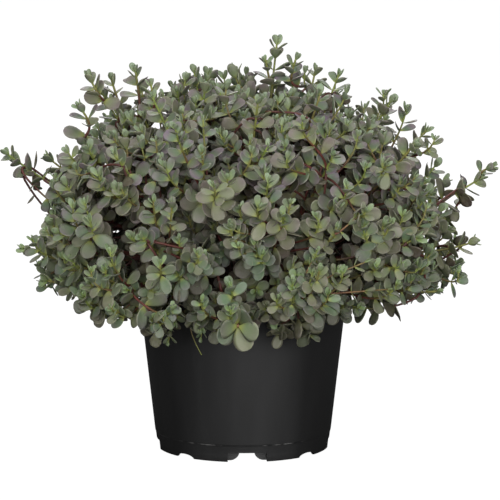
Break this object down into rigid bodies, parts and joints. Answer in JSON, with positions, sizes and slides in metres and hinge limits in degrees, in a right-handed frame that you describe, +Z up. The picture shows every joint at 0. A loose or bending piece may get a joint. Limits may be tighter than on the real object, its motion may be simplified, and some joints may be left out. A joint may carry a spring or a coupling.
{
  "type": "potted sedum",
  "caption": "Bushy potted sedum: fleshy-leaved stems spreading in a wide low dome from the potting mix of a plain black round nursery container, which stands on its foot ring.",
  "frame": {"origin": "on the floor, at the centre of the container's base", "axes": "+Z up through the container's axis, -Y towards the front of the plant, +X to the right seen from the front"},
  "size_m": [0.4324, 0.3955, 0.3649],
  "materials": {
    "black_plastic": "moulded black plastic, satin, faint upright flow marks",
    "potting_mix": "loose dark peat and bark",
    "foliage": "waxy grey-green leaves flushed with mauve, lime green at the tips, on red-brown stems"
  },
  "bodies": {
    "root": {"pot": "black_plastic", "potting_mix": "potting_mix", "stem_01": "foliage", "stem_02": "foliage", "stem_03": "foliage", "stem_04": "foliage", "stem_05": "foliage", "stem_06": "foliage", "stem_07": "foliage", "stem_08": "foliage", "stem_09": "foliage", "stem_10": "foliage", "stem_11": "foliage", "stem_12": "foliage", "stem_13": "foliage", "stem_14": "foliage", "stem_15": "foliage", "stem_16": "foliage", "stem_17": "foliage", "stem_18": "foliage", "stem_19": "foliage", "stem_20": "foliage", "stem_21": "foliage", "stem_22": "foliage", "stem_23": "foliage", "stem_24": "foliage", "stem_25": "foliage", "stem_26": "foliage", "stem_27": "foliage", "stem_28": "foliage", "stem_29": "foliage", "stem_30": "foliage", "stem_31": "foliage", "stem_32": "foliage", "stem_33": "foliage", "stem_34": "foliage", "stem_35": "foliage", "stem_36": "foliage", "stem_37": "foliage", "stem_38": "foliage", "stem_39": "foliage", "stem_40": "foliage", "stem_41": "foliage", "stem_42": "foliage", "stem_43": "foliage", "stem_44": "foliage", "stem_45": "foliage", "stem_46": "foliage", "stem_47": "foliage", "stem_48": "foliage"}
  },
  "joints": []
}
